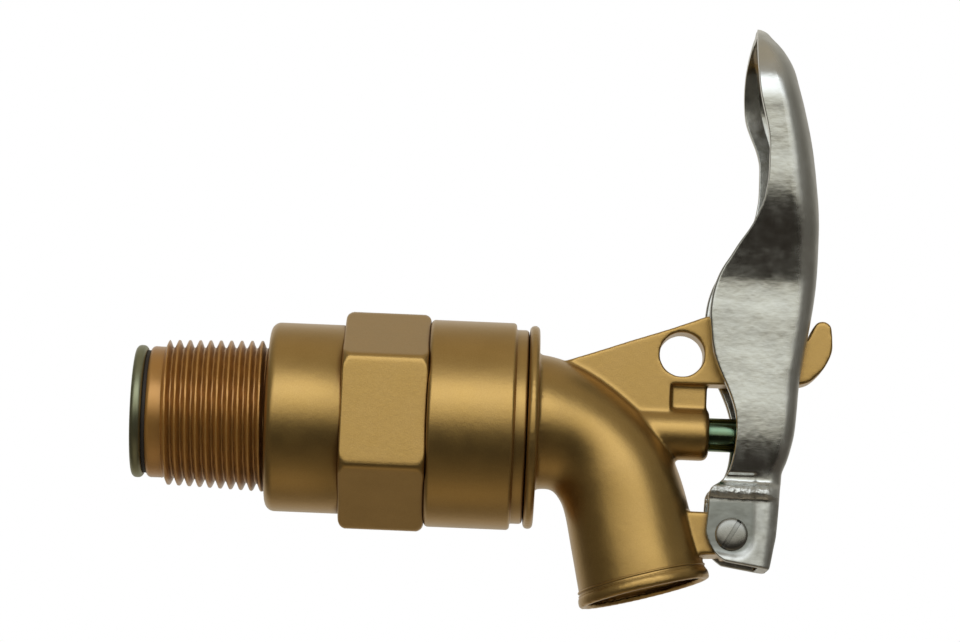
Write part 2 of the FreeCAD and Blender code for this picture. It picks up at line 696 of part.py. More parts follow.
def build_spring():
    """The closing spring, a coil of round wire between the guide and the spring's washer."""
    body = new_body("closing_spring")
    start = GUIDE_END + dim.spring_wire
    sketch = new_sketch(body, "spring_wire_section", "XZ_Plane")
    ring(sketch, dim.spring_wire - dim.seal_clearance, start, dim.spring_radius)
    coil = body.newObject("PartDesign::AdditiveHelix", "coil")
    coil.Profile = sketch
    coil.ReferenceAxis = (sketch, ["H_Axis"])
    coil.Mode = 1
    bind(coil, "Pitch", (dim.spring_length - 2 * dim.spring_wire) / dim.spring_turns)
    bind(coil, "Turns", dim.spring_turns)
    return body


def station_size(station, kind):
    return getattr(dim, "lever_%s_%s" % (station, kind))


def channel_section(body, name, height, front, back, half, corner):
    """One level section of the lever: open edge at the front, rounded corners at the back."""
    sketch = new_sketch(body, name, "XY_Plane")
    set_off(sketch, out=height)
    outline(sketch, [(front, -half), (back, -half, corner), (back, half, corner), (front, half)])
    return sketch


def lever_skin(body):
    sections = []
    for station in STATIONS:
        front, back, half, corner = [station_size(station, k) for k in ("front", "back", "half", "corner")]
        height = station_size(station, "z")
        sections.append(channel_section(body, station + "_skin", height, front, back, half, corner))
    skin = body.newObject("PartDesign::AdditiveLoft", "lever_skin")
    skin.Profile = sections[0]
    skin.Sections = sections[1:]
    skin.Ruled = False


def lever_hollow(body):
    """The channel inside the lever, one wall in from its skin and open at the front."""
    sections = []
    wall = dim.lever_wall
    for station in STATIONS:
        front, back, half, corner = [station_size(station, k) for k in ("front", "back", "half", "corner")]
        height = station_size(station, "z")
        open_front, depth = front - 1, back - wall
        if station == "tip":
            height = height - dim.lever_tip_wall
            depth = front + (back - front) * 0.6
            half, corner = half, corner
        else:
            half, corner = half - wall, corner - wall * 0.7
        if station == "heel":
            height = height - 1
        sections.append(channel_section(body, station + "_hollow", height, open_front, depth, half, corner))
    hollow = body.newObject("PartDesign::SubtractiveLoft", "lever_hollow")
    hollow.Profile = sections[0]
    hollow.Sections = sections[1:]
    hollow.Ruled = False


def build_lever():
    """The cast lever: a lofted channel for the hand, on a straight lug that the pivot goes through."""
    body = new_body("lever")
    lever_skin(body)
    half_lug = dim.lever_heel_half
    plate(body, "lug", [
        (dim.lug_front_x, dim.lug_toe_z, dim.lug_rounding),
        (dim.lug_back_x, dim.lug_sole_z, dim.lug_corner),
        (dim.lever_heel_back, dim.lever_heel_z),
        (dim.lever_heel_front, dim.lever_heel_z),
        (dim.lug_front_x, dim.lever_heel_z - 2),
    ], 2 * half_lug)
    lever_hollow(body)
    plate(body, "lug_channel", [
        (dim.lug_front_x - 5, dim.lug_sole_z - 5),
        (dim.lug_back_x - dim.lever_wall, dim.lug_sole_z - 5),
        (dim.lever_heel_back - dim.lever_wall, dim.lever_heel_z),
        (dim.lug_front_x - 5, dim.lever_heel_z),
    ], 2 * (half_lug - dim.lever_wall), cut=True)
    plate(body, "horn_slot", [
        (dim.lever_stem_back - dim.lever_wall - 2, dim.slot_bottom_z),
        (dim.lever_cheek_back + 2, dim.slot_bottom_z),
        (dim.lever_cheek_back + 2, dim.slot_top_z),
        (dim.lever_stem_back - dim.lever_wall - 2, dim.slot_top_z),
    ], dim.web_thickness + 2 * dim.slot_clearance, cut=True)
    cut_round(body, "lever_pivot_holes", dim.pivot_x, dim.pivot_z, dim.pivot_radius, 4 * half_lug)
    recess = new_sketch(body, "head_recess_circle", "XZ_Plane")
    set_off(recess, out=half_lug - dim.screw_recess_depth)
    ring(recess, dim.screw_head_radius, dim.pivot_x, dim.pivot_z)
    padded(body, "head_recess", recess, dim.screw_recess_depth + 1, cut=True, flipped=True)
    return body


def build_pivot_screw():
    """The slotted screw that the lever turns on, its head on the near side."""
    body = new_body("pivot_screw")
    head_seat = dim.lever_heel_half - dim.screw_recess_depth
    head = new_sketch(body, "head_circle", "XZ_Plane")
    set_off(head, out=head_seat)
    ring(head, dim.screw_head_radius, dim.pivot_x, dim.pivot_z)
    padded(body, "head", head, dim.screw_head_height)
    shank = new_sketch(body, "shank_circle", "XZ_Plane")
    set_off(shank, out=head_seat)
    ring(shank, dim.pivot_radius, dim.pivot_x, dim.pivot_z)
    padded(body, "shank", shank, head_seat + dim.lever_heel_half, flipped=True)
    slot = new_sketch(body, "slot_outline", "XZ_Plane")
    set_off(slot, out=head_seat + dim.screw_head_height)
    along_x, along_z = cosine(dim.screw_slot_angle), sine(dim.screw_slot_angle)
    reach, half = dim.screw_head_radius + 0.5, dim.screw_slot_width / 2
    outline(slot, [
        (dim.pivot_x - reach * along_x + half * along_z, dim.pivot_z - reach * along_z - half * along_x),
        (dim.pivot_x + reach * along_x + half * along_z, dim.pivot_z + reach * along_z - half * along_x),
        (dim.pivot_x + reach * along_x - half * along_z, dim.pivot_z + reach * along_z + half * along_x),
        (dim.pivot_x - reach * along_x - half * along_z, dim.pivot_z - reach * along_z + half * along_x),
    ])
    padded(body, "slot", slot, dim.screw_slot_depth, cut=True)
    return body


def build_rings():
    """The swivel's two O-rings and snap ring, and the stem's two O-rings."""
    swivel_radius = BARREL_BORE - dim.seal_clearance - dim.swivel_ring_wire
    stem_seal_radius = STEM_BORE + dim.stem_seal_wire
    return [
        wire_ring("swivel_o_ring_rear", REAR_SEAL_X, swivel_radius, dim.swivel_ring_wire),
        wire_ring("swivel_o_ring_front", FRONT_SEAL_X, swivel_radius, dim.swivel_ring_wire),
        wire_ring("swivel_snap_ring", SNAP_X, BARREL_BORE, dim.snap_wire),
        wire_ring("stem_o_ring_inner", INNER_SEAL_X, stem_seal_radius, dim.stem_seal_wire),
        wire_ring("stem_o_ring_outer", OUTER_SEAL_X, stem_seal_radius, dim.stem_seal_wire),
    ]


def check_document():
    """Stop if any object failed to compute."""
    failed = [o.Name for o in doc.Objects if "Invalid" in o.State or "Error" in o.State]
    if failed:
        raise RuntimeError("these objects failed: %s" % ", ".join(failed))


def check_part(part):
    shape = part.Shape
    if shape.isNull() or not shape.isValid() or not shape.Solids:
        raise RuntimeError("%s has no valid solid" % part.Label)


parts = [build_inlet_body(), build_stem_guide(), build_spout_body(), build_stem()]
parts += build_washers()
parts += [build_stem_clip(), build_spring(), build_lever(), build_pivot_screw()]
parts += build_rings()
doc.recompute()
check_document()
for part in parts:
    check_part(part)

os.makedirs("parts", exist_ok=True)
for part in parts:
    part.Shape.exportStep("parts/%s.step" % part.Label)
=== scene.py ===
"""Looks of the drum faucet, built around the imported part. Lengths in the tables are millimetres."""
import bmesh
import bpy
import math
import numpy as np
from mathutils import Matrix, Vector


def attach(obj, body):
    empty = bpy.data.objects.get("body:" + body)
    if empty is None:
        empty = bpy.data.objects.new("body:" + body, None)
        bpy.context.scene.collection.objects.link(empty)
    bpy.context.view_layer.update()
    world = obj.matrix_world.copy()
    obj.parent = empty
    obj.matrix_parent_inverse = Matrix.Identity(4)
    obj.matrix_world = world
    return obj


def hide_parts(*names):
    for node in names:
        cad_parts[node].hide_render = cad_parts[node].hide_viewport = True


MM = 0.001

# Stations of the inlet casting along the axis, and its radii: the part's own, but for a slimmer lip
PILOT_X, THREAD_X, HEX_X, BARREL_X, LIP_X, MOUTH_X = -20.9, -18.4, 12.95, 27.9, 42.9, 45.1
PILOT_R, CREST_R, COLLAR_R, HEX_HALF, HEX_CORNER = 11.5, 12.7, 16.55, 16.7, 19.15
BARREL_R, LIP_R, INLET_BORE, CHAMBER_R, BARREL_BORE = 18.15, 17.0, 8.75, 11.0, 13.05
PITCH, TAPER, TOOTH_DEPTH, FIRST_CREST = 1.814, 0.03125, 1.3, -17.49
TURN_STEPS = 240

# Lever: height, open front edge, back, half width, corner depth along X, corner width along Y
LEVER = [
    (-22.5, 80.6, 88.15, 6.80, 1.7, 1.7), (-21.9, 79.5, 88.34, 6.80, 1.8, 1.8),
    (-20.9, 78.3, 88.58, 6.80, 2.0, 2.0), (-19.2, 77.3, 88.93, 6.80, 2.2, 2.2),
    (-17.5, 76.85, 89.28, 6.80, 2.4, 2.4), (-14.0, 77.1, 89.55, 6.80, 2.5, 2.5),
    (-11.0, 77.20, 89.70, 6.75, 2.6, 2.6), (-9.8, 77.6, 89.75, 6.50, 2.6, 2.6),
    (-8.4, 79.4, 89.90, 6.00, 2.6, 2.6), (-7.0, 80.45, 89.95, 6.15, 2.6, 2.6),
    (-4.5, 81.2, 90.80, 6.75, 2.6, 2.7), (-2.0, 81.5, 91.45, 7.20, 2.7, 2.8),
    (0.3, 81.6, 91.90, 7.48, 2.8, 2.9), (2.7, 81.4, 92.10, 7.65, 2.9, 3.0),
    (5.0, 80.8, 92.25, 7.75, 3.0, 3.1), (7.7, 79.7, 92.38, 7.82, 3.1, 3.2),
    (10.4, 78.35, 92.62, 7.90, 3.1, 3.3), (12.9, 77.35, 93.02, 8.00, 3.2, 3.4),
    (15.5, 76.8, 93.42, 8.10, 3.3, 3.5), (18.0, 76.5, 93.85, 8.22, 3.4, 3.6),
    (20.5, 76.25, 94.22, 8.34, 3.6, 3.8), (23.4, 76.5, 94.62, 8.42, 3.8, 4.0),
    (26.3, 77.2, 94.90, 8.60, 4.0, 4.2), (28.6, 78.2, 95.03, 9.05, 4.2, 4.6),
    (30.6, 79.5, 95.07, 9.52, 4.3, 4.8), (32.5, 80.6, 95.07, 9.98, 4.4, 5.0),
    (36.0, 82.95, 95.04, 11.05, 4.6, 5.5), (38.5, 84.1, 94.93, 11.72, 4.8, 6.0),
    (40.4, 84.85, 94.80, 12.15, 4.9, 6.4), (42.3, 85.2, 94.60, 12.46, 5.0, 6.8),
    (44.0, 85.45, 94.40, 12.66, 5.0, 7.1), (46.0, 85.5, 94.18, 12.80, 4.9, 7.4),
    (49.5, 85.5, 93.70, 13.02, 4.8, 8.0), (52.9, 85.05, 93.04, 13.30, 4.7, 8.3),
    (55.4, 84.4, 92.46, 13.52, 4.6, 8.6), (58.5, 83.65, 91.66, 13.80, 4.5, 8.8),
    (61.6, 83.24, 90.80, 13.40, 4.3, 8.8), (64.0, 83.08, 90.18, 12.40, 4.1, 8.4),
    (66.2, 83.0, 89.22, 11.00, 3.8, 7.6), (68.5, 83.05, 87.80, 8.85, 3.3, 6.2),
    (70.6, 83.2, 86.05, 5.95, 2.4, 4.2), (71.7, 83.3, 85.25, 3.75, 1.6, 2.7),
    (72.3, 83.35, 84.40, 2.00, 0.9, 1.4),
]
LEVER_WALL, SLOT_Z, SLOT_HALF = 1.9, (5.8, 19.6), 3.55
SIDE_STEPS, CORNER_STEPS = 24, 7
TOE_Z, CROWN_Z, BROW_Z, HOLLOW_TOP_Z, TIP_Z = -22.5, 62, 66.2, 70.4, 72.45

# The lug: the pivot (x, z), the cast ridge above it and the pocket round the screw's head
PIVOT = (81.4, -17.8)
RIDGE_Z, RIDGE_HALF, RIDGE_HEIGHT, RIDGE_END_X = -10.05, 1.15, 0.85, 89.6
RIDGE_TILT, RIDGE_MIDDLE_X = 0.03, 84
POCKET_R, POCKET_EDGE, POCKET_DEPTH, POCKET_OVER = 3.5, 0.22, 0.5, 0.4

# Where the casting's side outline leaves the solid's: a place (x, z), its move (x, z) and the reach
NUDGES = [
    (94.2, 18.5, -0.6, -1.6, 1.9), (97.2, 22.2, -0.5, 0.4, 2.4), (95.6, 20.2, -0.3, 0.1, 1.5),
    (98.1, 19.6, 0.4, 0.1, 1.9), (98.2, 16.4, 0.15, 0.0, 2.0), (97.8, 13.6, -0.2, 0.0, 2.0),
    (94.4, 9.4, 0.6, -0.9, 2.6), (71.9, 13.85, 0.1, -0.3, 6.0),
]

# The flange and the start of the bend lie nearer the barrel than the solid's
FLANGE_SHIFT, FLANGE_BACK_X, SHIFT_END_X, SHIFT_FADE = 0.5, 48.5, 60.0, 12.0

# The outlet: its rise, its slants along X and Y, and the heights over which they begin
OUTLET_RISE, OUTLET_SLANT, OUTLET_LEAN, OUTLET_MIDDLE_X = 0.38, 0.03, 0.033, 65
LEG_TOP_Z, LEG_FADE, OUTLET_FADE, EAR_X = -17.0, 5.0, 8.0, 80

# Its rim: the middle (x, z), the lean in degrees, the bore's flare, and two fine lines (x, z, radius)
RIM_X, RIM_Z, RIM_LEAN = 67.0, -28.8, 14.0
FLARE, FLARE_FROM_R, FLARE_TO_R, FLARE_LENGTH = 1.2, 4, 10, 7
RIM_LINES, LINE_HALF = [(66.35, -26.18, 11.12), (66.52, -26.86, 11.12)], 0.22


def linear(red, green, blue):
    """A colour as written for the screen, made linear."""
    parts = [c / 12.92 if c <= 0.04045 else ((c + 0.055) / 1.055) ** 2.4 for c in (red, green, blue)]
    return (*parts, 1.0)


class Nodes:
    """A material's node tree, with short calls for the nodes used here."""

    def __init__(self, name):
        self.material = bpy.data.materials.new(name)
        self.material.use_nodes = True
        self.tree = self.material.node_tree
        self.tree.nodes.clear()
        self.shader = self.add("ShaderNodeBsdfPrincipled")
        output = self.add("ShaderNodeOutputMaterial")
        self.join(self.shader.outputs[0], output.inputs[0])
        self.place = self.add("ShaderNodeTexCoord").outputs["Object"]

    def add(self, kind, **settings):
        """A node of a kind, with its settings."""
        node = self.tree.nodes.new(kind)
        for name, value in settings.items():
            setattr(node, name, value)
        return node

    def join(self, start, end):
        self.tree.links.new(start, end)

    def noise(self, scale, detail=2.0, stretch=(1, 1, 1), roughness=0.5):
        """Noise whose features have about 1 / scale millimetres."""
        mapping = self.add("ShaderNodeMapping")
        mapping.inputs["Scale"].default_value = [1000 * s for s in stretch]
        self.join(self.place, mapping.inputs["Vector"])
        texture = self.add("ShaderNodeTexNoise")
        texture.inputs["Scale"].default_value = scale
        texture.inputs["Detail"].default_value = detail
        texture.inputs["Roughness"].default_value = roughness
        self.join(mapping.outputs[0], texture.inputs["Vector"])
        return texture.outputs[0]

    def spread(self, value, low, high, start=0.3, end=0.7):
        """A value taken from a range to another."""
        node = self.add("ShaderNodeMapRange")
        for name, number in (("From Min", start), ("From Max", end), ("To Min", low), ("To Max", high)):
            node.inputs[name].default_value = number
        self.join(value, node.inputs["Value"])
        return node.outputs[0]

    def blend(self, factor, first, second, kind="MIX"):
        """Two colours, or a colour and an output, mixed by a factor."""
        node = self.add("ShaderNodeMix", data_type="RGBA", blend_type=kind)
        for socket, value in ((node.inputs[0], factor), (node.inputs[6], first), (node.inputs[7], second)):
            if hasattr(value, "is_linked"):
                self.join(value, socket)
            else:
                socket.default_value = value
        return node.outputs[2]

    def work_out(self, kind, first, second):
        """One sum of two values, each a number or an output."""
        node = self.add("ShaderNodeMath", operation=kind)
        for socket, value in zip(node.inputs, (first, second)):
            if hasattr(value, "is_linked"):
                self.join(value, socket)
            else:
                socket.default_value = value
        return node.outputs[0]

    def bump(self, height, depth, before=None):
        """A bump of a depth in millimetres, on top of another if one is given."""
        node = self.add("ShaderNodeBump")
        node.inputs["Distance"].default_value = depth * MM
        node.inputs["Strength"].default_value = 1.0
        self.join(height, node.inputs["Height"])
        if before:
            self.join(before, node.inputs["Normal"])
        return node.outputs[0]

    def painted_shade_mask(self, reach):
        """1 in the open and less in corners, within a reach in millimetres: the mask for painted shade."""
        node = self.add("ShaderNodeAmbientOcclusion", samples=8)
        node.inputs["Distance"].default_value = reach * MM
        return node.outputs["AO"]

    def finish(self, colour, roughness, metallic, normal=None, specular=0.5):
        """The material, with what drives its shader joined in."""
        for name, value in (("Base Color", colour), ("Roughness", roughness)):
            if hasattr(value, "is_linked"):
                self.join(value, self.shader.inputs[name])
            else:
                self.shader.inputs[name].default_value = value
        self.shader.inputs["Metallic"].default_value = metallic
        self.shader.inputs["Specular IOR Level"].default_value = specular
        if normal:
            self.join(normal, self.shader.inputs["Normal"])
        return self.material


def bronze_paint():
    """Satin gold-bronze paint: browner over the thread, with painted shade darkening its corners and
    hollows.
    """
    n = Nodes("bronze_paint")
    cloud = n.noise(0.22, 3)
    grain = n.noise(5.0, 3)
    gold = n.blend(n.spread(cloud, 0, 1), linear(0.735, 0.588, 0.295), linear(0.765, 0.615, 0.325))
    gold = n.blend(n.spread(grain, 0, 0.35, 0.35, 0.65), gold, linear(0.67, 0.505, 0.215))
    axis = n.add("ShaderNodeSeparateXYZ")
    n.join(n.place, axis.inputs[0])
    thread = n.spread(axis.outputs[0], 1, 0, -0.6 * MM, 0.3 * MM)
    gold = n.blend(n.work_out("MULTIPLY", thread, 0.8), gold, linear(0.72, 0.50, 0.21))
    # Painted shade: a dark brown laid into corners and grooves, weaker over the thread.
    painted_corner_shade = n.spread(n.painted_shade_mask(1.4), 0.6, 0, 0.3, 0.9)
    gold = n.blend(n.work_out("MULTIPLY", painted_corner_shade, n.spread(thread, 1, 0.25, 0, 1)), gold,
                   linear(0.36, 0.20, 0.08))
    # Painted shade: dark brown in the bore, the spout's hollow and other enclosed places.
    painted_hollow_shade = n.painted_shade_mask(9.0)
    painted_hollow_shade.node.only_local = True
    gold = n.blend(n.spread(painted_hollow_shade, 0.85, 0, 0.22, 0.42), gold, linear(0.33, 0.19, 0.08))
    roughness = n.spread(cloud, 0.29, 0.36)
    normal = n.bump(grain, 0.018, n.bump(n.noise(0.9, 2), 0.02))
    n.join(n.spread(thread, 0.95, 0.70, 0, 1), n.shader.inputs["Metallic"])
    n.shader.inputs["Coat Weight"].default_value = 0.7
    n.shader.inputs["Coat IOR"].default_value = 1.7
    n.shader.inputs["Coat Roughness"].default_value = 0.36
    return n.finish(gold, roughness, 0.93, normal)


def polished_lever():
    """Hand-polished die casting: wavy, with fine scratches, dull on its ridge, with painted shade in its
    corners and deep painted shade in its channel.
    """
    n = Nodes("polished_lever")
    scratch = n.noise(1.1, 3, stretch=(0.2, 0.2, 2.2))
    cloud = n.noise(0.16, 3)
    dents = n.noise(0.55, 2, stretch=(1.0, 1.0, 2.2))
    colour = n.blend(n.spread(cloud, 0, 1), linear(0.815, 0.82, 0.81), linear(0.87, 0.875, 0.865))
    # Painted shade: darker grey in corners.
    colour = n.blend(n.spread(n.painted_shade_mask(1.6), 0.6, 0, 0.2, 0.9), colour, linear(0.34, 0.33, 0.31))
    # Painted shade: dark brown-grey in the channel's hollow.
    painted_hollow_shade = n.painted_shade_mask(14.0)
    painted_hollow_shade.node.only_local = True
    colour = n.blend(n.spread(painted_hollow_shade, 0.93, 0, 0.42, 0.72), colour, linear(0.25, 0.22, 0.19))
    axis = n.add("ShaderNodeSeparateXYZ")
    n.join(n.place, axis.inputs[0])
    ridge = n.work_out("MULTIPLY",
                       n.spread(axis.outputs[2], 0, 1, (RIDGE_Z - 1.55) * MM, (RIDGE_Z - 1.05) * MM),
                       n.spread(axis.outputs[2], 1, 0, (RIDGE_Z + 0.65) * MM, (RIDGE_Z + 1.25) * MM))
    lug = n.spread(axis.outputs[2], 1, 0, -12.4 * MM, -11.6 * MM)
    across = n.work_out("MAXIMUM", n.work_out("SUBTRACT", axis.outputs[0], (PIVOT[0] + POCKET_OVER) * MM),
                        0.0)
    down = n.work_out("MINIMUM", n.work_out("SUBTRACT", axis.outputs[2], PIVOT[1] * MM), 0.0)
    away = n.work_out("POWER", n.work_out("ADD", n.work_out("MULTIPLY", across, across),
                                          n.work_out("MULTIPLY", down, down)), 0.5)
    pocket = n.work_out("MULTIPLY", n.spread(away, 1, 0, (POCKET_R - 0.4) * MM, (POCKET_R + 0.2) * MM), lug)
    blotch = n.spread(n.noise(0.7, 3), 0.15, 0.75)
    colour = n.blend(n.work_out("MULTIPLY", lug, blotch), colour, linear(0.66, 0.66, 0.64))
    colour = n.blend(n.work_out("MULTIPLY", pocket, 0.8), colour, linear(0.50, 0.51, 0.49))
    rough = n.noise(1.6, 3)
    smooth = n.spread(n.noise(0.5, 3), 0.17, 0.27)
    facing = n.add("ShaderNodeSeparateXYZ")
    n.join(n.place.node.outputs["Normal"], facing.inputs[0])
    total = n.work_out("ADD", smooth, n.spread(n.work_out("MAXIMUM", ridge, lug), 0.0, 0.12, 0, 1))
    total = n.work_out("ADD", total, n.spread(facing.outputs[0], 0.0, 0.24, 0.12, 0.6))
    normal = n.bump(scratch, 0.0017, n.bump(cloud, 0.15, n.bump(dents, 0.02)))
    normal = n.bump(n.work_out("MULTIPLY", rough, ridge), 0.25, normal)
    return n.finish(colour, total, 1.0, normal)


def plated(name, first, second, low, high, metallic=1.0, depth=0.01, scale=1.2):
    """A plated or turned metal in two close tones, with painted shade darkening its corners."""
    n = Nodes(name)
    cloud = n.noise(scale * 0.3, 3)
    grain = n.noise(scale * 4, 2)
    colour = n.blend(n.spread(cloud, 0, 1), linear(*first), linear(*second))
    # Painted shade: half as bright in corners.
    colour = n.blend(n.spread(n.painted_shade_mask(0.8), 0.6, 0, 0.3, 0.95), colour, linear(*(c * 0.5 for c in first)))
    return n.finish(colour, n.spread(cloud, low, high), metallic, n.bump(grain, depth))


def rubber():
    """Matt black rubber with a faint brown cast."""
    n = Nodes("black_rubber")
    grain = n.noise(7, 2)
    colour = n.blend(grain, linear(0.13, 0.11, 0.10), linear(0.18, 0.155, 0.135))
    return n.finish(colour, n.spread(grain, 0.55, 0.7), 0.0, n.bump(grain, 0.01))


MATERIALS = {
    "bronze_paint": bronze_paint(),
    "polished_lever": polished_lever(),
    "green_zinc": plated("green_zinc", (0.40, 0.52, 0.43), (0.48, 0.57, 0.46), 0.10, 0.16),
    "disc_zinc": plated("disc_zinc", (0.56, 0.575, 0.475), (0.63, 0.635, 0.52), 0.34, 0.42),
    "black_rubber": rubber(),
    "spring_steel": plated("spring_steel", (0.72, 0.72, 0.71), (0.78, 0.78, 0.76), 0.22, 0.3),
    "screw_steel": plated("screw_steel", (0.60, 0.60, 0.58), (0.68, 0.67, 0.65), 0.24, 0.34),
    "guide_brass": plated("guide_brass", (0.80, 0.69, 0.42), (0.84, 0.74, 0.48), 0.25, 0.33),
}


def mesh_piece(name, vertices, faces, slot, sharp=38.0):
    """An object from vertices in millimetres, smooth but for edges sharper than an angle."""
    mesh = bpy.data.meshes.new(name)
    mesh.from_pydata([tuple(c * MM for c in v) for v in vertices], [], faces)
    mesh.update()
    thing = bpy.data.objects.new(name, mesh)
    bpy.context.scene.collection.objects.link(thing)
    tidy_mesh(thing, sharp)
    dress(thing, slot)
    return thing


def tidy_mesh(thing, sharp):
    """Weld, turn the faces outward, and shade."""
    shape = bmesh.new()
    shape.from_mesh(thing.data)
    bmesh.ops.remove_doubles(shape, verts=shape.verts, dist=0.002 * MM)
    bmesh.ops.recalc_face_normals(shape, faces=shape.faces)
    for face in shape.faces:
        face.smooth = True
    for edge in shape.edges:
        if len(edge.link_faces) == 2:
            edge.smooth = edge.calc_face_angle(0.0) < math.radians(sharp)
    shape.to_mesh(thing.data)
    shape.free()


def dress(thing, slot):
    """One of the materials on a piece, by its name."""
    thing.data.materials.clear()
    thing.data.materials.append(MATERIALS[slot])


def quarter(x, r, x_turn, r_turn, steps=5):
    """Points of a quarter round about a centre, from one side to the other."""
    return [(x + x_turn[0] * math.sin(a) + x_turn[1] * math.cos(a),
             r + r_turn[0] * math.sin(a) + r_turn[1] * math.cos(a))
            for a in [math.pi / 2 * i / steps for i in range(steps + 1)]]


def hexagon_radius(turn):
    """The hexagon's outline by angle, with eased corners."""
    total = sum(max(0.0, math.cos(turn - math.radians(60 * k))) ** 80 for k in range(6))
    return HEX_HALF / total ** (1 / 80)


def tooth(x, turn):
    """How far the thread's flank stands above its root, from 0 to 1."""
    share = ((x - FIRST_CREST) / PITCH - (turn - math.pi) / (2 * math.pi)) % 1.0
    away = min(share, 1 - share) * 2
    height = min(1.0, max(0.0, (0.86 - away) / 0.70))
    return height * height * (3 - 2 * height) * 0.35 + height * 0.65


def inlet_stations():
    """The casting's section as a closed loop: each a place on the axis and its radius by angle."""
    stations = []

    def add(x, radius):
        stations.append((x, radius if callable(radius) else (lambda turn, r=radius: r)))

    for x, r in [(MOUTH_X, BARREL_BORE), (28.0, BARREL_BORE), (28.0, CHAMBER_R), (6.0, CHAMBER_R),
                 (6.0, INLET_BORE), (PILOT_X + 0.6, INLET_BORE), (PILOT_X, INLET_BORE + 0.6)]:
        add(x, r)
    for x, r in quarter(PILOT_X + 0.8, PILOT_R - 0.8, (0, -0.8), (0.8, 0)):
        add(x, r)
    steps = 170
    for i in range(steps + 1):
        x = THREAD_X + (0 - THREAD_X) * i / steps

        def radius(turn, x=x):
            crest = CREST_R + TAPER * (x - FIRST_CREST)
            run_in = min(1.0, max(0.0, (x - THREAD_X) / 0.7 + 0.15))
            run_out = min(1.0, max(0.0, -x / 0.4))
            root = crest - TOOTH_DEPTH + 0.95 * (1 - run_out)
            return root + (crest - root) * tooth(x, turn) * run_in * run_out

        add(x, radius)
    add(0.0, COLLAR_R - 2.6)
    for x, r in quarter(1.7, COLLAR_R - 1.7, (0, -1.7), (1.7, 0), 8):
        add(x, r)
    add(HEX_X - 0.25, COLLAR_R)
    add(HEX_X, COLLAR_R - 0.15)
    ease, blank_ease = 0.45, 1.6
    lengths = [0.0, 0.05, 0.15, 0.3, 0.45, 0.8, 1.2, 1.6]
    ends = [(HEX_X + s, s) for s in lengths] + [(BARREL_X - s, s) for s in reversed(lengths)]
    for x, depth in ends:
        inset = ease - math.sqrt(max(0.0, ease ** 2 - max(0.0, ease - depth) ** 2))
        trim = blank_ease - math.sqrt(max(0.0, blank_ease ** 2 - max(0.0, blank_ease - depth) ** 2))

        def radius(turn, inset=inset, trim=trim):
            return max(COLLAR_R - 0.15, min(hexagon_radius(turn) - inset, HEX_CORNER + 0.02 - trim))

        add(x, radius)
    for x, r in quarter(BARREL_X + 0.8, BARREL_R - 0.8, (0, -0.8), (0.8, 0), 8):
        add(x, r)
    for x, r in quarter(LIP_X - 0.6, BARREL_R - 0.6, (0.6, 0), (0, 0.6), 5):
        add(x, r)
    add(LIP_X + 0.02, LIP_R + 0.15)
    add(LIP_X + 0.17, LIP_R)
    for x, r in quarter(MOUTH_X - 0.6, LIP_R - 0.6, (0.6, 0), (0, 0.6), 5):
        add(x, r)
    return stations


def inlet_casting():
    """The inlet turned about the axis, with the thread's helix and the hexagon by angle."""
    stations = inlet_stations()
    turns = [2 * math.pi * i / TURN_STEPS for i in range(TURN_STEPS)]
    vertices = [(x, radius(t) * math.cos(t), radius(t) * math.sin(t))
                for x, radius in stations for t in turns]
    faces = []
    rows = len(stations)
    for row in range(rows):
        here, there = row * TURN_STEPS, (row + 1) % rows * TURN_STEPS
        for i in range(TURN_STEPS):
            j = (i + 1) % TURN_STEPS
            faces.append((here + i, here + j, there + j, there + i))
    casting = mesh_piece("inlet_casting", vertices, faces, "bronze_paint")
    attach(casting, "inlet")
    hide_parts("inlet_body")


def within(share):
    """A share held between 0 and 1."""
    return max(0.0, min(1.0, share))


def soft(share):
    """A share from 0 to 1 with a gentle start and end."""
    return share * share * (3 - 2 * share)


def flared(x, y, z, over, up):
    """A point of the bore's wall moved outward, the more the nearer it lies to the mouth."""
    out = math.hypot(over, y)
    if not (FLARE_FROM_R < out < FLARE_TO_R and up < FLARE_LENGTH):
        return x, y, z
    wider = FLARE * max(0.0, 1 - max(0.0, up) / FLARE_LENGTH) ** 2 / out
    lean = math.radians(RIM_LEAN)
    return x + over * wider * math.cos(lean), y * (1 + wider), z + over * wider * math.sin(lean)


def as_cast(place):
    """Where a point of the spout's solid lies on the casting, both in millimetres."""
    x, y, z = place
    near = within((SHIFT_END_X - x) / SHIFT_FADE)
    if x > FLANGE_BACK_X:
        near *= within((z - LEG_TOP_Z) / LEG_FADE)
    x -= FLANGE_SHIFT * soft(near)
    if x < EAR_X:
        low = within((LEG_TOP_Z - z) / OUTLET_FADE)
        z += (OUTLET_RISE + OUTLET_SLANT * (x - OUTLET_MIDDLE_X) - OUTLET_LEAN * y) * soft(low)
        lean = math.radians(RIM_LEAN)
        over = (place[0] - RIM_X) * math.cos(lean) + (place[2] - RIM_Z) * math.sin(lean)
        up = (place[2] - RIM_Z) * math.cos(lean) - (place[0] - RIM_X) * math.sin(lean)
        x, y, z = flared(x, y, z, over, up)
    moved = Vector((x, y, z))
    for at_x, at_z, over, up, reach in NUDGES:
        share = math.exp(-((place[0] - at_x) ** 2 + (place[2] - at_z) ** 2) / reach ** 2)
        moved += Vector((over, 0, up)) * share
    return moved


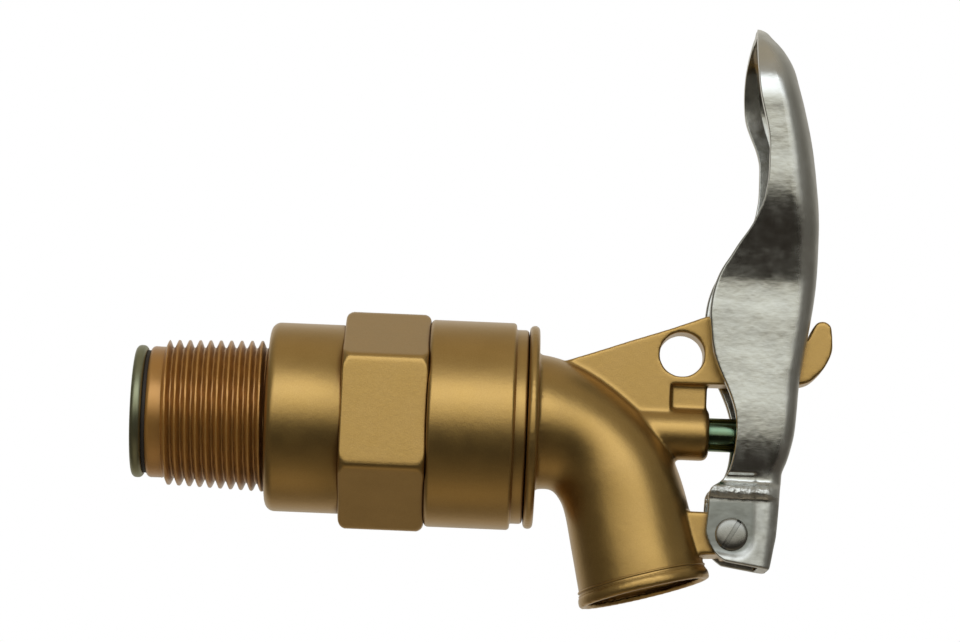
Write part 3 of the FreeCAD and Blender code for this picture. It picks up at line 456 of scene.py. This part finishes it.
def spout_casting():
    """The spout's solid with its sharp corners run together as a casting's are."""
    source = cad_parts["spout_body"]
    casting = bpy.data.objects.new("spout_casting", source.data.copy())
    bpy.context.scene.collection.objects.link(casting)
    tidy_mesh(casting, 30)
    remesh = casting.modifiers.new("skin", "REMESH")
    remesh.mode = "VOXEL"
    remesh.voxel_size = 0.32 * MM
    ease = casting.modifiers.new("ease", "SMOOTH")
    ease.factor = 0.5
    ease.iterations = 8
    graph = bpy.context.evaluated_depsgraph_get()
    casting.data = bpy.data.meshes.new_from_object(casting.evaluated_get(graph))
    casting.modifiers.clear()
    for vertex in casting.data.vertices:
        vertex.co = as_cast(vertex.co / MM) * MM
    for face in casting.data.polygons:
        face.use_smooth = True
    dress(casting, "bronze_paint")
    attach(casting, "spout")
    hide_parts("spout_body")


def rim_lines():
    """Two fine raised rings round the outlet, left by the casting's finishing."""
    lean = math.radians(RIM_LEAN)
    vertices, faces, rounds, sides = [], [], 120, 8
    for x, z, radius in RIM_LINES:
        start = len(vertices)
        for i in range(rounds):
            turn = 2 * math.pi * i / rounds
            for j in range(sides):
                bend = 2 * math.pi * j / sides
                out = radius + LINE_HALF * math.cos(bend)
                over, up = out * math.cos(turn), LINE_HALF * math.sin(bend)
                px = x + over * math.cos(lean) - up * math.sin(lean)
                pz = z + over * math.sin(lean) + up * math.cos(lean)
                vertices.append(tuple(as_cast((px, out * math.sin(turn), pz))))
        for i in range(rounds):
            for j in range(sides):
                a, b = start + i * sides, start + (i + 1) % rounds * sides
                faces.append((a + j, b + j, b + (j + 1) % sides, a + (j + 1) % sides))
    lines = mesh_piece("rim_lines", vertices, faces, "bronze_paint", sharp=80)
    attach(lines, "spout")


def steady(heights, values):
    """A smooth curve through points that doesn't overshoot between them."""
    h, v = np.array(heights, float), np.array(values, float)
    step = np.diff(h)
    rise = np.diff(v) / step
    slope = np.zeros_like(v)
    product, total = rise[:-1] * rise[1:], rise[:-1] + rise[1:]
    slope[1:-1] = np.where(product > 0, 2 * product / (total + 1e-12), 0)
    slope[0], slope[-1] = rise[0], rise[-1]

    def value(z):
        i = int(min(max(np.searchsorted(h, z) - 1, 0), len(step) - 1))
        t = (z - h[i]) / step[i]
        a, b, c = 2 * t ** 3 - 3 * t ** 2 + 1, t ** 3 - 2 * t ** 2 + t, t ** 3 - t ** 2
        return float(a * v[i] + (1 - a) * v[i + 1] + step[i] * (b * slope[i] + c * slope[i + 1]))

    return value


def lever_curves():
    """The lever's front, back, half width and corners as curves over the height."""
    heights = [row[0] for row in LEVER]
    return [steady(heights, [row[k] for row in LEVER]) for k in range(1, 6)]


def lever_section(curves, z, wall, side_steps, corner_steps):
    """Half of a level section, from the open front edge to the middle of the back."""
    front, back, half, deep, wide = [curve(z) for curve in curves]
    if wall:
        back, half = back - wall, half - wall
        deep, wide = deep - wall * 0.6, wide - wall * 0.6
        back, half = max(back, front + 0.3), max(half, 0.3)
    deep, wide = min(deep, 0.8 * (back - front)), min(wide, 0.8 * half)
    points = []
    for i in range(side_steps):
        share = i / side_steps
        points.append((front + (back - deep - front) * share, half))
    for i in range(corner_steps + 1):
        angle = math.pi / 2 * i / corner_steps
        points.append((back - deep + deep * math.sin(angle), half - wide + wide * math.cos(angle)))
    edge = min(SLOT_HALF, (half - wide) * 0.96)
    for share in (1.0, 0.66, 0.33, 0.0):
        points.append((back, edge * share))
    return points


def proud(x, z):
    """How far the lug's cast ridge and pocket stand off its side."""
    rough = 0.12 * math.sin(3.1 * x + 1.0) + 0.10 * math.sin(7.3 * x + 2.0 * z)
    away = (z - RIDGE_Z + RIDGE_TILT * (x - RIDGE_MIDDLE_X)) / RIDGE_HALF
    ridge = math.exp(-abs(away) ** 3) * within((RIDGE_END_X - x) / 2)
    across = max(0.0, x - PIVOT[0] - POCKET_OVER)
    down = min(0.0, z - PIVOT[1])
    pocket = 1 / (1 + math.exp((math.hypot(across, down) - POCKET_R) / POCKET_EDGE))
    return (RIDGE_HEIGHT + rough) * ridge - POCKET_DEPTH * pocket


def lever_heights():
    """The levels of the lever's rows, close together on the lug and towards the tip."""
    lug = list(np.arange(TOE_Z, -6.0, 0.33))
    body = [z for z in np.arange(-5.8, 66.0, 0.9) if min(abs(z - s) for s in SLOT_Z) > 0.4]
    brow = [TIP_Z - (TIP_Z - BROW_Z) * (1 - i / 15) ** 2 for i in range(16)]
    return sorted(lug + body + list(SLOT_Z) + brow)


def lever_row(curves, z, wall, at_tip):
    """One level of the outer or the inner wall, from rim to rim."""
    level, seat = z, 0.0
    if wall:
        # The inner wall is thinner where the stem's dome stands before it
        seat = 0.7 * math.exp(-((z + 1.6) / 2.6) ** 4)
    if wall and z > CROWN_Z:
        level = CROWN_Z + (z - CROWN_Z) * (HOLLOW_TOP_Z - CROWN_Z) / (TIP_Z - CROWN_Z)
    points = lever_section(curves, level, wall - seat, SIDE_STEPS, CORNER_STEPS)
    row = [(x, -y) for x, y in points] + [(x, y) for x, y in reversed(points[:-1])]
    if at_tip:
        row = [(row[0][0] + 0.1, 0.0)] * len(row)
    lean = 1.2 * soft(within((z - 50.0) / 9.0))
    deep = curves[1](min(z, LEVER[-1][0])) - 1.0
    foot = within((-14.0 - z) / 8.0)
    placed = []
    for x, y in row:
        if y > 0 and z < 71.5:
            x -= lean * max(0.0, deep - x) / 9.0 * min(1.0, y / 6.0)
        drop = foot * foot * 0.15 * (x - 80.0)
        out = proud(x, z) if not wall and z < -7 and abs(y) > 4.4 else 0.0
        placed.append((x, y + (out if y > 0 else -out), level - drop))
    return placed


def lever_faces(heights, width):
    """The quads of both walls, open at the slot, and of the rims that join their edges."""
    rows = len(heights)
    shift = rows * width
    faces, edges = [], {}
    for r in range(rows - 1):
        for c in range(width - 1):
            a = r * width + c
            middle = abs(c + 0.5 - (width - 1) / 2) < 3
            if middle and SLOT_Z[0] - 0.01 <= heights[r] < SLOT_Z[1] - 0.01:
                continue
            quad = (a, a + 1, a + width + 1, a + width)
            faces.append(quad)
            faces.append(tuple(v + shift for v in reversed(quad)))
            for i in range(4):
                edge = (quad[i], quad[(i + 1) % 4])
                edges[frozenset(edge)] = edges.get(frozenset(edge), []) + [edge]
    for found in edges.values():
        start, end = found[0]
        at_tip = min(start, end) >= (rows - 1) * width
        if len(found) == 1 and not at_tip:
            faces.append((end, start, start + shift, end + shift))
    return faces


def lever_casting():
    """The channel's outer and inner walls, and the rims between them."""
    curves, heights = lever_curves(), lever_heights()
    vertices = []
    for wall in (0.0, LEVER_WALL):
        for z in heights:
            vertices += lever_row(curves, z, wall, z == heights[-1])
    width = len(vertices) // (2 * len(heights))
    casting = mesh_piece("lever_casting", vertices, lever_faces(heights, width), "polished_lever", sharp=70)
    ease = casting.modifiers.new("ease", "SUBSURF")
    ease.levels = ease.render_levels = 1
    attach(casting, "hand_lever")
    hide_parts("lever")


def slotted_screw():
    """The pivot screw: a low domed head with a slot, and its shank through both cheeks."""
    radius, seat, angle = 2.85, 6.3, math.radians(60)
    across = [0.0, 0.2, 0.34, 0.37, 0.43, 0.46, 0.6, 0.9, 1.3, 1.7, 2.1, 2.4, 2.6, 2.75, 2.83, 2.85]
    across = [-c for c in reversed(across[1:])] + across
    along = [-1.0, -0.995, -0.97, -0.92, -0.85, -0.7, -0.5, -0.3, -0.1]
    along = along + [-c for c in reversed(along)]
    vertices, faces = [], []

    def put(u, v, height):
        vertices.append((PIVOT[0] + u * math.sin(angle) + v * math.cos(angle), -(seat + height),
                         PIVOT[1] - u * math.cos(angle) + v * math.sin(angle)))

    for u in across:
        chord = math.sqrt(max(0.0, radius ** 2 - u ** 2))
        rim = max(chord, 0.02)
        put(u, -rim, -0.2)
        for share in along:
            v = share * rim
            away = min(1.0, math.hypot(u, v) / radius)
            dome = 0.25 + 0.62 * math.sqrt(max(0.0, 1 - away ** 2.6))
            put(u, v, dome - (0.5 if abs(u) < 0.4 and away < 0.96 else 0.0))
        put(u, rim, -0.2)
    width = len(along) + 2
    for row in range(len(across) - 1):
        for column in range(width - 1):
            a = row * width + column
            faces.append((a, a + 1, a + width + 1, a + width))
    steps, start = 40, len(vertices)
    for y, r in ((-6.2, 1.7), (6.5, 1.7), (6.75, 1.45)):
        for i in range(steps):
            turn = 2 * math.pi * i / steps
            vertices.append((PIVOT[0] + r * math.cos(turn), y, PIVOT[1] + r * math.sin(turn)))
    for row in range(2):
        for i in range(steps):
            a, b = start + row * steps + i, start + row * steps + (i + 1) % steps
            faces.append((a, b, b + steps, a + steps))
    faces.append(tuple(start + 2 * steps + i for i in range(steps)))
    screw = mesh_piece("slotted_screw", vertices, faces, "screw_steel", sharp=30)
    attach(screw, "hand_lever")
    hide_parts("pivot_screw")


def soften(node, slot, width):
    """Finish a plain solid that stays: its material, and its edges eased."""
    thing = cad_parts[node]
    dress(thing, slot)
    if width:
        ease = thing.modifiers.new("weld", "WELD")
        ease.merge_threshold = 0.001 * MM
        ease = thing.modifiers.new("ease", "BEVEL")
        ease.width = width * MM
        ease.segments = 2
        ease.limit_method = "ANGLE"
        ease.angle_limit = math.radians(50)
        ease.harden_normals = False


def world_light():
    """A white backdrop behind, and in front of the faucet a bright room over a dark floor."""
    world = bpy.data.worlds.new("studio")
    bpy.context.scene.world = world
    world.use_nodes = True
    tree = world.node_tree
    tree.nodes.clear()

    def add(kind, **settings):
        node = tree.nodes.new(kind)
        for name, value in settings.items():
            setattr(node, name, value)
        return node

    def math_node(kind, first, second=None):
        node = add("ShaderNodeMath", operation=kind)
        for socket, value in zip(node.inputs, (first, second)):
            if value is None:
                continue
            if hasattr(value, "is_linked"):
                tree.links.new(value, socket)
            else:
                socket.default_value = value
        return node.outputs[0]

    way = add("ShaderNodeSeparateXYZ")
    tree.links.new(add("ShaderNodeTexCoord").outputs["Generated"], way.inputs[0])
    height = math_node("MULTIPLY_ADD", math_node("ARCSINE", way.outputs[2]), 1 / math.pi)
    height.node.inputs[2].default_value = 0.5

    def ramp(stops):
        node = add("ShaderNodeValToRGB")
        elements = node.color_ramp.elements
        while len(elements) < len(stops):
            elements.new(0.5)
        for element, (angle, colour) in zip(elements, sorted(stops)):
            element.position = angle / 180 + 0.5
            element.color = (*colour, 1)
        tree.links.new(height, node.inputs[0])
        return node.outputs[0]

    front = ramp([(-90, (0.38, 0.31, 0.22)), (-70, (0.23, 0.18, 0.12)), (-57, (0.028, 0.023, 0.017)),
                  (-9, (0.024, 0.020, 0.015)), (-3, (0.48, 0.45, 0.36)), (5, (0.90, 0.90, 0.80)),
                  (14, (1.08, 1.09, 1.02)), (24, (1.60, 1.66, 1.68)), (52, (1.68, 1.74, 1.76)),
                  (70, (0.72, 0.66, 0.50)), (90, (0.44, 0.38, 0.28))])
    back = ramp([(-90, (0.42, 0.35, 0.25)), (-60, (0.52, 0.45, 0.34)), (-12, (0.55, 0.52, 0.45)),
                 (20, (0.66, 0.63, 0.56)), (60, (0.62, 0.60, 0.54)), (90, (0.44, 0.38, 0.28))])
    side = ramp([(-90, (0.42, 0.35, 0.25)), (-60, (0.13, 0.11, 0.08)), (-20, (0.06, 0.05, 0.04)),
                 (0, (0.10, 0.09, 0.07)), (30, (0.20, 0.19, 0.16)), (60, (0.36, 0.33, 0.27)),
                 (90, (0.44, 0.38, 0.28))])
    toward = math_node("MULTIPLY", way.outputs[1], -1.0)

    def share(start, end):
        node = add("ShaderNodeMapRange", interpolation_type="SMOOTHSTEP")
        for name, number in (("From Min", start), ("From Max", end), ("To Min", 0), ("To Max", 1)):
            node.inputs[name].default_value = number
        tree.links.new(toward, node.inputs[0])
        return node.outputs[0]

    def mixed(factor, first, second):
        node = add("ShaderNodeMix", data_type="RGBA")
        for socket, value in ((node.inputs[0], factor), (node.inputs[6], first), (node.inputs[7], second)):
            tree.links.new(value, socket)
        return node.outputs[2]

    room = mixed(share(0.55, 0.82), side, front)
    room = mixed(share(-0.35, -0.90), room, back)
    lit = add("ShaderNodeBackground")
    tree.links.new(room, lit.inputs[0])
    lit.inputs[1].default_value = 1.0
    white = add("ShaderNodeBackground")
    white.inputs[0].default_value = (1, 1, 1, 1)
    seen = add("ShaderNodeMixShader")
    tree.links.new(add("ShaderNodeLightPath").outputs["Is Camera Ray"], seen.inputs[0])
    tree.links.new(lit.outputs[0], seen.inputs[1])
    tree.links.new(white.outputs[0], seen.inputs[2])
    output = add("ShaderNodeOutputWorld")
    tree.links.new(seen.outputs[0], output.inputs[0])


def softbox(name, place, aim, width, height, power):
    """A lamp with a wide face, aimed at a point."""
    lamp = bpy.data.lights.new(name, "AREA")
    lamp.shape = "RECTANGLE"
    lamp.size, lamp.size_y = width, height
    lamp.energy = power
    thing = bpy.data.objects.new(name, lamp)
    thing.location = place
    thing.rotation_euler = (Vector(aim) - Vector(place)).to_track_quat("-Z", "Y").to_euler()
    thing.visible_glossy = False
    bpy.context.scene.collection.objects.link(thing)


def studio():
    """The lights and the floor."""
    world_light()
    softbox("key_light", (-0.25, -0.85, 0.95), (0.04, 0, 0), 1.1, 0.5, 7)
    n = Nodes("floor_white")
    shade = n.blend(n.noise(0.01, 2), (0.86, 0.86, 0.86, 1), (0.9, 0.9, 0.9, 1))
    material = n.finish(shade, 0.7, 0.0)
    mesh = bpy.data.meshes.new("floor")
    mesh.from_pydata([(-3, -3, -0.3), (3, -3, -0.3), (3, 3, -0.3), (-3, 3, -0.3)], [], [(0, 1, 2, 3)])
    mesh.materials.append(material)
    floor = bpy.data.objects.new("floor", mesh)
    floor.visible_glossy = False
    bpy.context.scene.collection.objects.link(floor)


def camera():
    """A long lens that looks up a little and is rolled so that the axis falls to the right."""
    lens = bpy.data.cameras.new("camera")
    lens.sensor_width = 36
    lens.lens = 146.25
    lens.clip_start, lens.clip_end = 0.01, 20
    thing = bpy.data.objects.new("camera", lens)
    tilt = Matrix.Rotation(math.radians(97.5), 4, "X") @ Matrix.Rotation(math.radians(2.4), 4, "Z")
    thing.matrix_world = Matrix.Translation((0.03634, -0.68075, -0.07119)) @ tilt
    bpy.context.scene.collection.objects.link(thing)
    bpy.context.scene.camera = thing


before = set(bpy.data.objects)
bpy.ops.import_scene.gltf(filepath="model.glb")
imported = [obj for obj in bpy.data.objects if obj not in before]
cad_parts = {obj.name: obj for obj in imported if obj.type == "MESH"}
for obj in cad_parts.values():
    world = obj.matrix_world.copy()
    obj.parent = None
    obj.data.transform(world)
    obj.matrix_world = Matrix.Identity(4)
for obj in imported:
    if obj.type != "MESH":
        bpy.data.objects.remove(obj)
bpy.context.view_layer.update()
inlet_casting()
spout_casting()
rim_lines()
lever_casting()
slotted_screw()
for node, slot, width in [
    ("stem", "green_zinc", 0.0), ("valve_disc", "disc_zinc", 0.0), ("valve_gasket", "black_rubber", 0.08),
    ("gasket_backing_washer", "disc_zinc", 0.1), ("spring_washer", "spring_steel", 0.1),
    ("stem_clip", "spring_steel", 0.08), ("closing_spring", "spring_steel", 0.0),
    ("stem_guide", "guide_brass", 0.15),
    ("swivel_o_ring_rear", "black_rubber", 0.0), ("swivel_o_ring_front", "black_rubber", 0.0),
    ("swivel_snap_ring", "spring_steel", 0.0), ("stem_o_ring_inner", "black_rubber", 0.0),
    ("stem_o_ring_outer", "black_rubber", 0.0),
]:
    soften(node, slot, width)
studio()
camera()
bpy.context.scene.view_settings.view_transform = "Standard"
